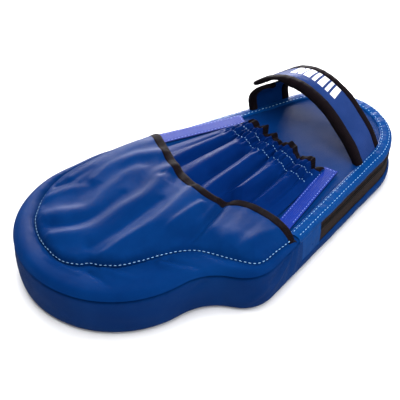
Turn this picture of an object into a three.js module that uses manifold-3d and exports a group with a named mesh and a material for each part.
// Hand-shaped striking mitt: a flat foam pad in a sewn cover that zips open round its narrow end.
// Its back carries a finger and thumb pocket, a gathered wrist cuff and a padded forearm strap.
// X runs from the fingertips to the forearm end, +Y is the side away from the thumb, +Z points out
// of the back, and the striking face lies on z = 0. All sizes are in millimetres.
import * as THREE from "three";
import { mergeVertices } from "three/addons/utils/BufferGeometryUtils.js";
import Module from "manifold-3d";

const wasm = await Module();
wasm.setup();

// ---- Driving dimensions -----------------------------------------------------------------------

const padThickness = 50;
const cover = 1.4; // thickness of the coated cloth
const gap = 0.3; // running gap between neighbouring pieces

// Plan outline: arcs joined by straight runs
const headRadius = 106;
const palmRadius = 109;
const palmX = 142;
const tailX = 378;
const tailY = 3;
const tailRadius = 76;
const thumbX = 192;
const thumbY = -101;
const thumbRadius = 38;
const webRadius = 55; // hollow between the fingers and the thumb
const turnStep = 8; // degrees of arc in each facet

// Zipped opening round the tail
const zipEndX = 252; // where the head wall stops and the zipped part starts
const patchLength = 33; // cover patch over each end of the zip
const lowerWallTop = 15;
const upperWallBottom = 44;
const edgeStripWidth = 14; // the glossy strip on the back, round the tail
const zipHeight = 33; // middle of the teeth
const tapeThickness = 0.8;
const tapeSlit = 3.2; // between the two tapes
const tapeTuck = 3.5; // how far each tape runs behind the wall next to it
const coilSlit = 1.2; // between the two rows of teeth
const coilHeight = 2.8;
const coilDepth = 1.6;
const stopLength = 6;

// Slider and pull
const sliderLength = 9;
const sliderHeight = 8;
const sliderPlate = 1.2;
const sliderPost = 0.6;
const sliderStart = 7; // from the end of the patch to the middle of the slider
const barThickness = 1.5;
const barSpan = 6; // clear length of the slider's bar
const pullWidth = 4.4;
const pullLength = 22;
const pullThickness = 1.2;
const pullEyeRadius = 2.7;
const pullHoleRadius = 1.5;

// Foam
const foamInset = 7;
const strikeFoamTop = 16;
const coreFoamTop = 38;

// Finger and thumb pocket
const fingerX = 110;
const fingerY = 20;
const fingerRadius = 80;
const pocketThumbX = 197;
const pocketThumbY = -116;
const pocketThumbRadius = 12;
const pocketWebX = 126;
const pocketWebY = -107;
const pocketWebRadius = 42;
const pocketRise = 21; // height of the mouth over the back
const pocketShoulder = 34; // run over which the panel climbs from its stitching
const mouthFarX = 215;
const mouthMiddleX = 191;
const mouthNearX = 240;
const dividerY = -42; // valley between the fingers and the thumb
const dividerWidth = 15;
const dividerDepth = 0.55; // share of the rise that the valley loses
const pocketCell = 8.5; // grid of the pocket's bent sheet
const pocketSheet = { from: -2, to: 262 }; // X range that the panel is cut from
const bindingReach = 7; // how far a binding laps over each face
const bindingSkin = 1;

// Gathered cuff over the wrist
const cuffRise = 13;
const tapeWidth = 16;
const tapeLay = 1;
const nearTapeFrom = new THREE.Vector2(250, -95);
const nearTapeTo = new THREE.Vector2(341, -55);
const farTapeFrom = new THREE.Vector2(219, 91);
const farTapeTo = new THREE.Vector2(313, 70);
const cuffEdgeSetback = 8; // the near tape runs on past the edge of the cuff
const cuffLength = 150; // before its front edge is trimmed to the pocket's mouth
const cuffCell = 8; // grid of the cuff's bent sheet
const cuffSheet = { from: 178, to: 346, near: -124, far: 112 }; // range that the cuff is cut from
const elasticWidth = 6;
const elasticThickness = 0.8;
const elasticSetbacks = { cuff_elastic_rear: 13, cuff_elastic_front: 27 };

// Forearm strap, an arch across the pad
const strapFootX = tailX + 14;
const strapFootY = tailY - 60;
const strapTurn = 14.9; // degrees between the strap's width and the X axis
const strapWidth = 50;
const strapSpan = 143; // from the near foot to the far edge
const strapRise = 65; // crown of the arch over the back
const strapThickness = 9.4;
const tipThickness = 2.9;
const liningThickness = 1.2;
const strapCutShare = 0.74; // share of the arch that is padded
const strapTilt = 0.17; // the fingertip edge of the arch stands higher than the other
const nearSkew = 0.165; // slant of each foot line across the strap
const farSkew = -0.33;
const anchorThickness = 4.8;
const loopThickness = 1.1;
const archFacets = 26;

// ---- Small tools ------------------------------------------------------------------------------

const radians = THREE.MathUtils.degToRad;

// A closed three.js geometry as a solid that can be cut and joined.
function solid(geometry) {
  const bare = geometry.clone();
  bare.deleteAttribute("normal");
  bare.deleteAttribute("uv");
  const merged = mergeVertices(bare, 1e-4);
  const vertProperties = merged.attributes.position.array;
  const triVerts = new Uint32Array(merged.index.array);
  return new wasm.Manifold(new wasm.Mesh({ numProp: 3, vertProperties, triVerts }));
}

// A solid as a three.js geometry.
function geometryOf(made) {
  const mesh = made.getMesh();
  const geometry = new THREE.BufferGeometry();
  geometry.setAttribute("position", new THREE.BufferAttribute(mesh.vertProperties, 3));
  geometry.setIndex(new THREE.BufferAttribute(mesh.triVerts, 1));
  return geometry;
}

// Moves every vertex of a geometry to where place(x, y, z) says.
function warp(geometry, place) {
  const position = geometry.attributes.position;
  for (let i = 0; i < position.count; i += 1) {
    const [x, y, z] = place(position.getX(i), position.getY(i), position.getZ(i));
    position.setXYZ(i, x, y, z);
  }
  return geometry;
}

// An upright solid over a plan outline.
function prism(points, bottom, top) {
  const shape = new THREE.Shape(points);
  const geometry = new THREE.ExtrudeGeometry(shape, { depth: top - bottom, bevelEnabled: false });
  return solid(geometry.translate(0, 0, bottom));
}

function block(x0, x1, y0, y1, z0, z1) {
  const geometry = new THREE.BoxGeometry(x1 - x0, y1 - y0, z1 - z0);
  return solid(geometry.translate((x0 + x1) / 2, (y0 + y1) / 2, (z0 + z1) / 2));
}

// ---- Outlines ---------------------------------------------------------------------------------

// A closed outline round a list of circles, in anticlockwise order. A circle with side -1 lies
// outside the outline and makes a hollow in it. Each arc keeps the angles of its outward normal.
function outlineRound(circles) {
  const normals = circles.map((a, i) => {
    const b = circles[(i + 1) % circles.length];
    const dx = b.x - a.x;
    const dy = b.y - a.y;
    const apart = Math.hypot(dx, dy);
    const across = (a.side * a.r - b.side * b.r) / apart;
    return Math.atan2(dy, dx) - Math.acos(THREE.MathUtils.clamp(across, -1, 1));
  });
  return circles.map((circle, i) => {
    const from = normals[(i + circles.length - 1) % circles.length];
    const turn = THREE.MathUtils.euclideanModulo(circle.side * (normals[i] - from), 2 * Math.PI);
    return { ...circle, from, sweep: circle.side * turn };
  });
}

// The hollow's circle: it touches two others from outside, on the near side of both.
function webBetween(a, b, r) {
  const reachA = a.r + r;
  const reachB = b.r + r;
  const apart = Math.hypot(b.x - a.x, b.y - a.y);
  const along = (reachA ** 2 - reachB ** 2 + apart ** 2) / (2 * apart);
  const aside = Math.sqrt(reachA ** 2 - along ** 2);
  const ux = (b.x - a.x) / apart;
  const uy = (b.y - a.y) / apart;
  return { x: a.x + ux * along + uy * aside, y: a.y + uy * along - ux * aside, r, side: -1 };
}

function onArc(arc, share, inset) {
  const angle = arc.from + arc.sweep * share;
  const reach = arc.side * arc.r - inset;
  return new THREE.Vector2(arc.x + Math.cos(angle) * reach, arc.y + Math.sin(angle) * reach);
}

// A point of the outline, set in by inset. A station counts arcs as even numbers and the straight
// runs after them as odd ones, and its fraction is the share of that arc or run.
function pointAt(outline, station, inset) {
  const wrapped = station % (2 * outline.length);
  const element = Math.floor(wrapped);
  const share = wrapped - element;
  const arc = outline[Math.floor(element / 2)];
  if (element % 2 === 0) return onArc(arc, share, inset);
  const next = outline[(Math.floor(element / 2) + 1) % outline.length];
  return onArc(arc, 1, inset).lerp(onArc(next, 0, inset), share);
}

function walk(outline, from, to, inset) {
  const points = [pointAt(outline, from, inset)];
  for (let element = Math.floor(from); element < to; element += 1) {
    const arc = outline[Math.floor(element / 2) % outline.length];
    const facets =
      element % 2 === 0 ? Math.ceil(Math.abs(arc.sweep) / radians(turnStep)) : 1;
    for (let i = 1; i <= facets; i += 1) {
      const station = element + i / facets;
      if (station > from + 1e-6 && station < to - 1e-6) {
        points.push(pointAt(outline, station, inset));
      }
    }
  }
  points.push(pointAt(outline, to, inset));
  return points.filter((p, i) => i === 0 || p.distanceTo(points[i - 1]) > 1e-3);
}

function wholeOutline(outline, inset) {
  return walk(outline, 0, 2 * outline.length - 1e-9, inset).slice(0, -1);
}

// A strip that follows the outline between two stations, such as a wall or a tape.
function strip(outline, from, to, outer, inner, bottom, top) {
  const outside = walk(outline, from, to, outer);
  const inside = walk(outline, from, to, inner).reverse();
  return prism([...outside, ...inside], bottom, top);
}

const tailCircle = { x: tailX, y: tailY, r: tailRadius, side: 1 };
const palmCircle = { x: palmX, y: 0, r: palmRadius, side: 1 };
const headCircle = { x: headRadius, y: 0, r: headRadius, side: 1 };
const thumbCircle = { x: thumbX, y: thumbY, r: thumbRadius, side: 1 };
const web = webBetween(headCircle, thumbCircle, webRadius);
const pad = outlineRound([tailCircle, palmCircle, headCircle, web, thumbCircle]);
const farRun = 1; // the straight run on the far side, from the tail to the palm
const nearRun = 9; // the straight run on the near side, from the thumb to the tail
const lap = 2 * pad.length;

// The station of a straight run at a given distance past the point where its X is x.
function stationAtX(run, x, onward = 0) {
  const start = pointAt(pad, run, 0);
  const end = pointAt(pad, run + 1 - 1e-9, 0);
  return run + (x - start.x) / (end.x - start.x) + onward / start.distanceTo(end);
}

// ---- Pad: cover, walls and foam ---------------------------------------------------------------

const backTop = padThickness;
const panelSeat = backTop + gap; // underside of what is sewn onto the back
const panelTop = panelSeat + cover;
const strapSeat = panelTop + gap;
const wallBottom = cover + gap;
const innerInset = cover + gap;
const tallest = padThickness + 2 * strapRise; // above everything
const widest = 1000; // wider than the object
const aboveBack = block(-widest, widest, -widest, widest, panelSeat, tallest);
const aboveSeat = block(-widest, widest, -widest, widest, strapSeat, tallest);

const nearZip = stationAtX(nearRun, zipEndX);
const farZip = stationAtX(farRun, zipEndX);
const nearTail = stationAtX(nearRun, zipEndX, gap);
const farTail = lap + stationAtX(farRun, zipEndX, -gap);
const nearPatchEnd = stationAtX(nearRun, zipEndX, patchLength);
const farPatchEnd = lap + stationAtX(farRun, zipEndX, -patchLength);

function facePanel() {
  return prism(wholeOutline(pad, 0), 0, cover);
}

function headGusset() {
  return strip(pad, farZip, nearZip, 0, cover, wallBottom, backTop);
}

function lowerGusset() {
  return strip(pad, nearTail, farTail, 0, cover, wallBottom, lowerWallTop);
}

function backPanel() {
  return prism(wholeOutline(pad, innerInset), backTop - cover, backTop);
}

// The strip round the tail laps over the back and turns down over the wall.
function edgeStrip() {
  const lapOver = strip(pad, nearTail, farTail, 0, edgeStripWidth, panelSeat, panelTop);
  const turnDown = strip(pad, nearTail, farTail, 0, cover, upperWallBottom, panelTop);
  return lapOver.add(turnDown);
}

function foam(bottom, top) {
  return prism(wholeOutline(pad, foamInset), bottom, top);
}

// ---- Zip --------------------------------------------------------------------------------------

function zipPatch(from, to) {
  return strip(pad, from, to, 0, cover, lowerWallTop + gap, upperWallBottom - gap);
}

const tapeOuter = innerInset;
const tapeInner = tapeOuter + tapeThickness;
const coilOuter = tapeInner + gap;
const coilInner = coilOuter + coilDepth;
const tapeHide = patchLength / 3; // the tapes start this far behind the patches

function zipTape(bottom, top) {
  const from = stationAtX(nearRun, zipEndX, tapeHide);
  const to = lap + stationAtX(farRun, zipEndX, -tapeHide);
  return strip(pad, from, to, tapeOuter, tapeInner, bottom, top);
}

function zipCoil(bottom) {
  return strip(pad, nearPatchEnd, farPatchEnd, coilOuter, coilInner, bottom, bottom + coilHeight);
}

function zipStop(from, to) {
  const half = coilHeight + coilSlit / 2;
  return strip(pad, from, to, coilOuter, coilInner, zipHeight - half, zipHeight + half);
}

// The slider rides on the far straight run. Its own axes are: x along the run towards the tail,
// y out of the wall, z up, from the point where the wall's face meets the middle of the teeth.
const sliderAt = pointAt(pad, farPatchEnd - lap - sliderStart / runLength(farRun), 0);
const runEnd = pointAt(pad, farRun, 0);
const sliderAngle = Math.atan2(runEnd.y - sliderAt.y, runEnd.x - sliderAt.x);
const plateOut = -tapeOuter + gap + sliderPlate; // outer face of the outer plate
const barOut = plateOut + gap + pullEyeRadius;

function runLength(run) {
  return pointAt(pad, run, 0).distanceTo(pointAt(pad, run + 1 - 1e-9, 0));
}

function zipSlider() {
  const half = sliderLength / 2;
  const plateHalf = sliderHeight / 2;
  const postHalf = sliderPost / 2;
  const innerFace = -coilInner - gap;
  const barHalf = barThickness / 2;
  const legFoot = plateOut - sliderPlate / 2;
  let made = block(-half, half, plateOut - sliderPlate, plateOut, -plateHalf, plateHalf);
  made = made.add(
    block(-half, half, innerFace - sliderPlate, innerFace, -plateHalf, plateHalf),
  );
  made = made.add(
    block(-half / 2, half / 2, innerFace - sliderPlate / 2, legFoot, -postHalf, postHalf),
  );
  for (const end of [-1, 1]) {
    const inside = (end * barSpan) / 2;
    const outside = end * half;
    made = made.add(
      block(Math.min(inside, outside), Math.max(inside, outside),
        legFoot, barOut + barHalf, -barHalf, barHalf),
    );
  }
  return made.add(block(-half, half, barOut - barHalf, barOut + barHalf, -barHalf, barHalf));
}

// The pull hangs by its round eye from the slider's bar.
function zipPull() {
  const outline = new THREE.Shape();
  outline.absarc(0, 0, pullEyeRadius, 0, 2 * Math.PI);
  const hole = new THREE.Path();
  hole.absarc(0, 0, pullHoleRadius, 0, 2 * Math.PI);
  outline.holes.push(hole);
  const eye = new THREE.ExtrudeGeometry(outline, {
    depth: pullWidth,
    bevelEnabled: false,
    curveSegments: 12,
  });
  eye.translate(0, 0, -pullWidth / 2);
  eye.rotateY(Math.PI / 2);
  const tabTop = -(pullEyeRadius + pullHoleRadius) / 2;
  const tab = block(-pullWidth / 2, pullWidth / 2,
    -pullThickness / 2, pullThickness / 2, -pullLength, tabTop);
  return solid(eye).add(tab);
}

// ---- Soft panels that rise off the back -------------------------------------------------------

// A bent sheet over a rectangle of the plan: its lower face is low above the height field and its
// upper face high above it.
function sheet(area, height, low, high) {
  const [x0, x1, y0, y1, cell] = area;
  const across = Math.round((x1 - x0) / cell);
  const deep = Math.round((y1 - y0) / cell);
  const box = new THREE.BoxGeometry(x1 - x0, y1 - y0, 1, across, deep, 1);
  box.translate((x0 + x1) / 2, (y0 + y1) / 2, 0);
  return solid(
    warp(box, (x, y, z) => [x, y, panelSeat + height(x, y) + (z > 0 ? high : low)]),
  );
}

// How deep a point lies inside a closed outline, or 0 outside it.
function depthInside(points, x, y) {
  let nearest = Infinity;
  let inside = false;
  points.forEach((a, i) => {
    const b = points[(i + 1) % points.length];
    const dx = b.x - a.x;
    const dy = b.y - a.y;
    const share = ((x - a.x) * dx + (y - a.y) * dy) / (dx * dx + dy * dy);
    const held = Math.min(1, Math.max(0, share));
    nearest = Math.min(nearest, Math.hypot(x - a.x - dx * held, y - a.y - dy * held));
    if (a.y > y !== b.y > y && x < a.x + ((y - a.y) * dx) / dy) inside = !inside;
  });
  return inside ? nearest : 0;
}

const fingerCircle = { x: fingerX, y: fingerY, r: fingerRadius, side: 1 };
const pocketThumb = { x: pocketThumbX, y: pocketThumbY, r: pocketThumbRadius, side: 1 };
const cornerRadius = 12;
const cornerX = mouthNearX + cornerRadius / 2;
const stitching = outlineRound([
  { x: cornerX, y: fingerRadius - cornerRadius + fingerY / 2, r: cornerRadius, side: 1 },
  fingerCircle,
  { x: pocketWebX, y: pocketWebY, r: pocketWebRadius, side: -1 },
  pocketThumb,
  { x: cornerX, y: pocketThumbY + cornerRadius / 4, r: cornerRadius, side: 1 },
]);
const stitchLine = wholeOutline(stitching, 0);

// Height of the pocket panel: flat up to its stitching, then a rounded shoulder, low at the
// fingertips and highest at the mouth, with a valley between the fingers and the thumb.
function pocketHeight(x, y) {
  const climb = Math.min(1, depthInside(stitchLine, x, y) / pocketShoulder);
  const shoulder = Math.sin((climb * Math.PI) / 2);
  const start = fingerX - fingerRadius;
  const along = THREE.MathUtils.clamp((x - start) / (mouthMiddleX - start), 0, 1);
  const lift = 0.3 + 0.7 * THREE.MathUtils.smoothstep(along, 0, 1);
  const valley = dividerDepth * Math.exp(-(((y - dividerY) / dividerWidth) ** 2));
  return pocketRise * shoulder * lift * (1 - valley * along);
}

const farReach = palmRadius + cover;
const nearReach = thumbY - thumbRadius - cover;
const pocketArea = [pocketSheet.from, pocketSheet.to, nearReach, farReach, pocketCell];

// The mouth runs across the back in a shallow curve, nearest the fingertips in the middle.
const mouthLine = new THREE.SplineCurve([
  new THREE.Vector2(mouthFarX + 6, farReach + 20),
  new THREE.Vector2(mouthFarX, 104),
  new THREE.Vector2(mouthMiddleX + 10, 56),
  new THREE.Vector2(mouthMiddleX, 0),
  new THREE.Vector2(mouthMiddleX + 12, dividerY),
  new THREE.Vector2(mouthNearX - 5, -88),
  new THREE.Vector2(mouthNearX, -122),
  new THREE.Vector2(mouthNearX + 2, nearReach - 20),
]);

// The part of the plan that lies within reach of the mouth, towards the fingertips.
function behindMouth(reach) {
  const edge = mouthLine.getSpacedPoints(24).map((p) => new THREE.Vector2(p.x + reach, p.y));
  const last = edge[edge.length - 1];
  const corners = [new THREE.Vector2(-20, last.y), new THREE.Vector2(-20, edge[0].y)];
  return prism([...edge, ...corners].reverse(), 0, tallest);
}

function pocketPanel() {
  return sheet(pocketArea, pocketHeight, 0, cover)
    .intersect(prism(wholeOutline(pad, 0), 0, tallest))
    .intersect(behindMouth(0));
}

// A binding folds over the mouth's edge, above and below it.
function pocketBinding() {
  const low = -gap - bindingSkin;
  const high = cover + gap + bindingSkin;
  const folded = sheet(pocketArea, pocketHeight, low, high)
    .intersect(behindMouth(gap + bindingSkin))
    .subtract(behindMouth(-bindingReach));
  const held = sheet(pocketArea, pocketHeight, -gap, cover + gap).intersect(behindMouth(gap));
  return folded
    .subtract(held)
    .intersect(prism(wholeOutline(pad, 0), panelSeat, tallest));
}

// ---- Cuff -------------------------------------------------------------------------------------

// The y, at a given x, of a line beside a tape's middle, aside to its left.
function beside(from, to, x, aside) {
  const slope = (to.y - from.y) / (to.x - from.x);
  return from.y + (x - from.x) * slope + aside * Math.hypot(1, slope);
}

function tapeOutline(from, to) {
  const along = to.clone().sub(from).normalize();
  const aside = new THREE.Vector2(-along.y, along.x).multiplyScalar(tapeWidth / 2);
  return [
    from.clone().sub(aside),
    to.clone().sub(aside),
    to.clone().add(aside),
    from.clone().add(aside),
  ];
}

// Share of the way from the middle of the cuff (0) to where it lies flat by a tape (1 or -1).
function acrossCuff(x, y) {
  const flat = tapeWidth / 2 + cuffCell;
  const near = beside(nearTapeFrom, nearTapeTo, x, flat);
  const far = beside(farTapeFrom, farTapeTo, x, -flat);
  return (2 * y - near - far) / (far - near);
}

function cuffHeight(x, y) {
  const share = Math.min(1, Math.abs(acrossCuff(x, y)));
  return cuffRise * (1 - share ** 2.5);
}

const cuffArea = [cuffSheet.from, cuffSheet.to, cuffSheet.near, cuffSheet.far, cuffCell];

// A band of the plan between the side tapes. It starts at setback from the cuff's free edge, is
// width deep, and keeps inside from the outer edge of each tape.
function cuffBand(setback, width, inside) {
  const aside = tapeWidth / 2 - inside;
  const corner = (from, to, side, back) => {
    const x = to.x - back;
    return new THREE.Vector2(x, beside(from, to, x, side * aside));
  };
  const nearBack = setback + cuffEdgeSetback;
  return prism(
    [
      corner(nearTapeFrom, nearTapeTo, -1, nearBack + width),
      corner(nearTapeFrom, nearTapeTo, -1, nearBack),
      corner(farTapeFrom, farTapeTo, 1, setback),
      corner(farTapeFrom, farTapeTo, 1, setback + width),
    ],
    0,
    tallest,
  );
}

function cuffPanel() {
  const stripRoom = strip(pad, nearZip, lap + farZip, 0, edgeStripWidth + gap, 0, tallest);
  return sheet(cuffArea, cuffHeight, 0, cover)
    .intersect(cuffBand(0, cuffLength, 0))
    .subtract(behindMouth(2 * gap + bindingSkin))
    .subtract(stripRoom);
}

function cuffBinding() {
  const low = -gap - bindingSkin;
  const high = cover + gap + bindingSkin;
  const lapped = gap + bindingSkin;
  const folded = sheet(cuffArea, cuffHeight, low, high)
    .intersect(cuffBand(-lapped, lapped + bindingReach, tapeWidth + gap));
  const held = sheet(cuffArea, cuffHeight, -gap, cover + gap)
    .intersect(cuffBand(-gap, cuffLength, 0));
  return folded.subtract(held).intersect(aboveBack);
}

// Elastic sewn under the cuff, where the cuff stands clear of the back.
function cuffElastic(setback) {
  const inside = tapeWidth + 3 * bindingReach;
  return sheet(cuffArea, cuffHeight, -gap - elasticThickness, -gap)
    .intersect(cuffBand(setback, elasticWidth, inside));
}

function sideTape(from, to) {
  return prism(tapeOutline(from, to), strapSeat, strapSeat + tapeLay);
}

// ---- Forearm strap ----------------------------------------------------------------------------

// Outer face of the arch, as shares of its span and its rise, from below the near foot.
const archLine = new THREE.SplineCurve(
  [
    [-0.055, -0.18],
    [0.003, 0.03],
    [0.07, 0.283],
    [0.175, 0.528],
    [0.3, 0.773],
    [0.434, 0.926],
    [0.56, 1],
    [0.678, 0.992],
    [0.79, 0.911],
    [0.881, 0.789],
    [0.986, 0.59],
  ].map(([s, z]) => new THREE.Vector2(s * strapSpan, z * strapRise)),
);

// Outer face of the short anchor strap, from under the tip down to the far edge.
const anchorLine = new THREE.SplineCurve(
  [
    [-27, 0.735],
    [-21, 0.69],
    [-10, 0.56],
    [-2, 0.405],
    [1, 0.275],
    [0.6, 0.15],
    [-1, 0.02],
    [-2, -0.06],
  ].map(([s, z]) => new THREE.Vector2(strapSpan + s, z * strapRise)),
);

// Plan position of a point of the strap: s runs across the pad, v along the strap's width.
function strapPlace(s, z, v) {
  const turn = radians(strapTurn);
  const share = s / strapSpan;
  const skewed = s + v * THREE.MathUtils.lerp(nearSkew, farSkew, share);
  const x = strapFootX - Math.sin(turn) * skewed + Math.cos(turn) * v;
  const y = strapFootY + Math.cos(turn) * skewed + Math.sin(turn) * v;
  const tilted = z - v * strapTilt * Math.sin(Math.PI * THREE.MathUtils.clamp(share, 0, 1));
  return [x, y, backTop + tilted];
}

// A band along a line of the strap, between two offsets from its outer face and two places
// across its width.
function band(line, from, to, low, high, left, right) {
  const shares = [from];
  for (let i = 1; i < archFacets; i += 1) {
    const share = i / archFacets;
    if (share > from + 0.005 && share < to - 0.005) shares.push(share);
  }
  shares.push(to);
  const beyond = (share) => {
    const held = THREE.MathUtils.clamp(share, 0, 1);
    const tangent = line.getTangentAt(held);
    const over = (share - held) * line.getLength();
    return { point: line.getPointAt(held).addScaledVector(tangent, over), tangent };
  };
  const side = (offset) =>
    shares.map((share) => {
      const { point, tangent } = beyond(share);
      return new THREE.Vector2(point.x - tangent.y * offset, point.y + tangent.x * offset);
    });
  const shape = new THREE.Shape([...side(low), ...side(high).reverse()]);
  const geometry = new THREE.ExtrudeGeometry(shape, { depth: right - left, bevelEnabled: false });
  geometry.translate(0, 0, left);
  return solid(warp(geometry, strapPlace));
}

const halfStrap = strapWidth / 2;
const halfPanel = halfStrap - bindingSkin - gap;
const cutGap = gap / archLine.getLength();
const tipFrom = strapCutShare + cutGap;

// A U-shaped binding over one long edge: side is -1 at the fingertip edge and 1 at the other.
function edgeBinding(line, from, to, thickness, side) {
  const skin = gap + bindingSkin;
  const ends = [side * halfStrap, side * (halfStrap - bindingReach)].sort((a, b) => a - b);
  const slot = [side * (halfStrap - bindingSkin), 0].sort((a, b) => a - b);
  return band(line, from, to, -thickness - skin, skin, ...ends)
    .subtract(band(line, from - 0.05, to + 0.05, -thickness - gap, gap, ...slot));
}

function strapLayer(low, high) {
  return band(archLine, 0, strapCutShare, low, high, -halfPanel, halfPanel).intersect(aboveSeat);
}

function strapBinding(side) {
  return edgeBinding(archLine, 0, strapCutShare, strapThickness, side).intersect(aboveSeat);
}

const tipEnd = 1;
const tipSkin = (gap + bindingSkin) / archLine.getLength();

function tipLayer(low, high) {
  return band(archLine, tipFrom, tipEnd - tipSkin, low, high, -halfPanel, halfPanel);
}

// The tip's binding runs up one edge, round the end and back along the other.
function tipBinding() {
  const skin = gap + bindingSkin;
  const reach = bindingReach / archLine.getLength();
  const half = halfStrap - bindingSkin;
  const middle = halfStrap - bindingReach;
  const slotEnd = tipEnd - bindingSkin / archLine.getLength();
  return band(archLine, tipFrom, tipEnd, -tipThickness - skin, skin, -halfStrap, halfStrap)
    .subtract(band(archLine, tipFrom - 0.05, slotEnd, -tipThickness - gap, gap, -half, half))
    .subtract(band(archLine, tipFrom - 0.05, tipEnd - reach, -20, 20, -middle, middle));
}

const patchHalf = halfStrap - bindingReach - gap;

function tipHookPatch() {
  const end = tipEnd - (bindingReach + gap) / archLine.getLength();
  const top = -tipThickness - gap;
  return band(archLine, tipFrom + 0.01, end, top - bindingSkin, top, -patchHalf, patchHalf);
}

const anchorCore = anchorThickness - 2 * (gap + bindingSkin);
const anchorSkin = gap + bindingSkin;

function anchorShell() {
  const low = -anchorSkin - anchorCore;
  return band(anchorLine, 0, 1, low, -anchorSkin, -halfPanel, halfPanel).intersect(aboveSeat);
}

function anchorBinding(side) {
  const ends = [side * halfStrap, side * (halfStrap - bindingReach)].sort((a, b) => a - b);
  const slot = [side * (halfStrap - bindingSkin), 0].sort((a, b) => a - b);
  return band(anchorLine, 0, 1, -anchorThickness, 0, ...ends)
    .subtract(
      band(anchorLine, -0.05, 1.05, -anchorThickness + bindingSkin, -bindingSkin, ...slot),
    )
    .intersect(aboveSeat);
}

function anchorLoopPatch() {
  const high = -anchorSkin + gap + loopThickness;
  return band(anchorLine, 0.02, 0.6, -anchorSkin + gap, high, -patchHalf, patchHalf);
}

// ---- Assembly ---------------------------------------------------------------------------------

function material(color, roughness, metalness = 0) {
  return new THREE.MeshStandardMaterial({ color, roughness, metalness });
}

const leatherette = material(0x1b3f86, 0.42);
const vinyl = material(0x0b57b0, 0.28);
const binding = material(0x1d1613, 0.8);
const webbing = material(0x3a3fc4, 0.6);
const zipCloth = material(0x2b1d1c, 0.85);
const nickel = material(0x9a9a9e, 0.35, 1);
const plastic = material(0x151417, 0.45);
const foamWhite = material(0xd9d5cc, 0.9);
const foamGrey = material(0x85858a, 0.9);
const elastic = material(0xe8e6e0, 0.8);
const hook = material(0x17171c, 0.9);

const upperTapeBottom = zipHeight + tapeSlit / 2;
const lowerTapeTop = zipHeight - tapeSlit / 2;
const upperTapeTop = upperWallBottom + tapeTuck;
const lowerTapeBottom = lowerWallTop - tapeTuck;
const upperCoilBottom = zipHeight + coilSlit / 2;
const lowerCoilBottom = zipHeight - coilSlit / 2 - coilHeight;
const liningBottom = -strapThickness;
const strapFoamBottom = liningBottom + liningThickness + gap;

const pieces = [
  ["face_panel", facePanel(), leatherette],
  ["head_gusset", headGusset(), leatherette],
  ["lower_gusset", lowerGusset(), leatherette],
  ["back_panel", backPanel(), leatherette],
  ["edge_strip", edgeStrip(), vinyl],
  ["zip_patch_near", zipPatch(nearTail, nearPatchEnd), vinyl],
  ["zip_patch_far", zipPatch(farPatchEnd, farTail), vinyl],
  ["zip_tape_upper", zipTape(upperTapeBottom, upperTapeTop), zipCloth],
  ["zip_tape_lower", zipTape(lowerTapeBottom, lowerTapeTop), zipCloth],
  ["zip_coil_upper", zipCoil(upperCoilBottom), plastic],
  ["zip_coil_lower", zipCoil(lowerCoilBottom), plastic],
  [
    "zip_stop_near",
    zipStop(
      stationAtX(nearRun, zipEndX, patchLength - stopLength - gap),
      stationAtX(nearRun, zipEndX, patchLength - gap),
    ),
    plastic,
  ],
  [
    "zip_stop_far",
    zipStop(
      stationAtX(farRun, zipEndX, gap - patchLength),
      stationAtX(farRun, zipEndX, gap + stopLength - patchLength),
    ),
    plastic,
  ],
  ["strike_foam", foam(wallBottom, strikeFoamTop), foamGrey],
  ["core_foam", foam(strikeFoamTop + gap, coreFoamTop), foamWhite],
  ["back_foam", foam(coreFoamTop + gap, backTop - cover - gap), foamGrey],
  ["pocket_panel", pocketPanel(), leatherette],
  ["pocket_binding", pocketBinding(), binding],
  ["cuff_panel", cuffPanel(), vinyl],
  ["cuff_binding", cuffBinding(), binding],
  ["side_tape_near", sideTape(nearTapeFrom, nearTapeTo), webbing],
  ["side_tape_far", sideTape(farTapeFrom, farTapeTo), webbing],
  ["strap_shell", strapLayer(-cover, 0), leatherette],
  ["strap_foam", strapLayer(strapFoamBottom, -cover - gap), foamGrey],
  ["strap_lining", strapLayer(liningBottom, liningBottom + liningThickness), leatherette],
  ["strap_binding_front", strapBinding(-1), binding],
  ["strap_binding_rear", strapBinding(1), binding],
  ["tip_shell", tipLayer(-cover, 0), leatherette],
  ["tip_lining", tipLayer(-tipThickness, -cover - gap), leatherette],
  ["tip_binding", tipBinding(), binding],
  ["tip_hook_patch", tipHookPatch(), hook],
  ["anchor_shell", anchorShell(), leatherette],
  ["anchor_binding_front", anchorBinding(-1), binding],
  ["anchor_binding_rear", anchorBinding(1), binding],
  ["anchor_loop_patch", anchorLoopPatch(), hook],
];
for (const [name, setback] of Object.entries(elasticSetbacks)) {
  pieces.push([name, cuffElastic(setback), elastic]);
}

const mitt = new THREE.Group();
for (const [name, made, look] of pieces) {
  const mesh = new THREE.Mesh(geometryOf(made), look);
  mesh.name = name;
  mitt.add(mesh);
}

// The slider and its pull sit in a group of their own, turned to the far straight run.
const sliderGroup = new THREE.Group();
sliderGroup.position.set(sliderAt.x, sliderAt.y, zipHeight);
sliderGroup.rotation.z = sliderAngle;
for (const [name, made, out] of [["zip_slider", zipSlider(), 0], ["zip_pull", zipPull(), barOut]]) {
  const mesh = new THREE.Mesh(geometryOf(made), nickel);
  mesh.name = name;
  mesh.position.y = out;
  sliderGroup.add(mesh);
}
mitt.add(sliderGroup);

// The origin is under the middle of the whole object, on the surface that it lies on.
const model = new THREE.Group();
model.add(mitt);
model.updateMatrixWorld(true);
const extent = new THREE.Box3().setFromObject(mitt, true);
mitt.position.set(-(extent.min.x + extent.max.x) / 2, -(extent.min.y + extent.max.y) / 2, 0);

export default model;
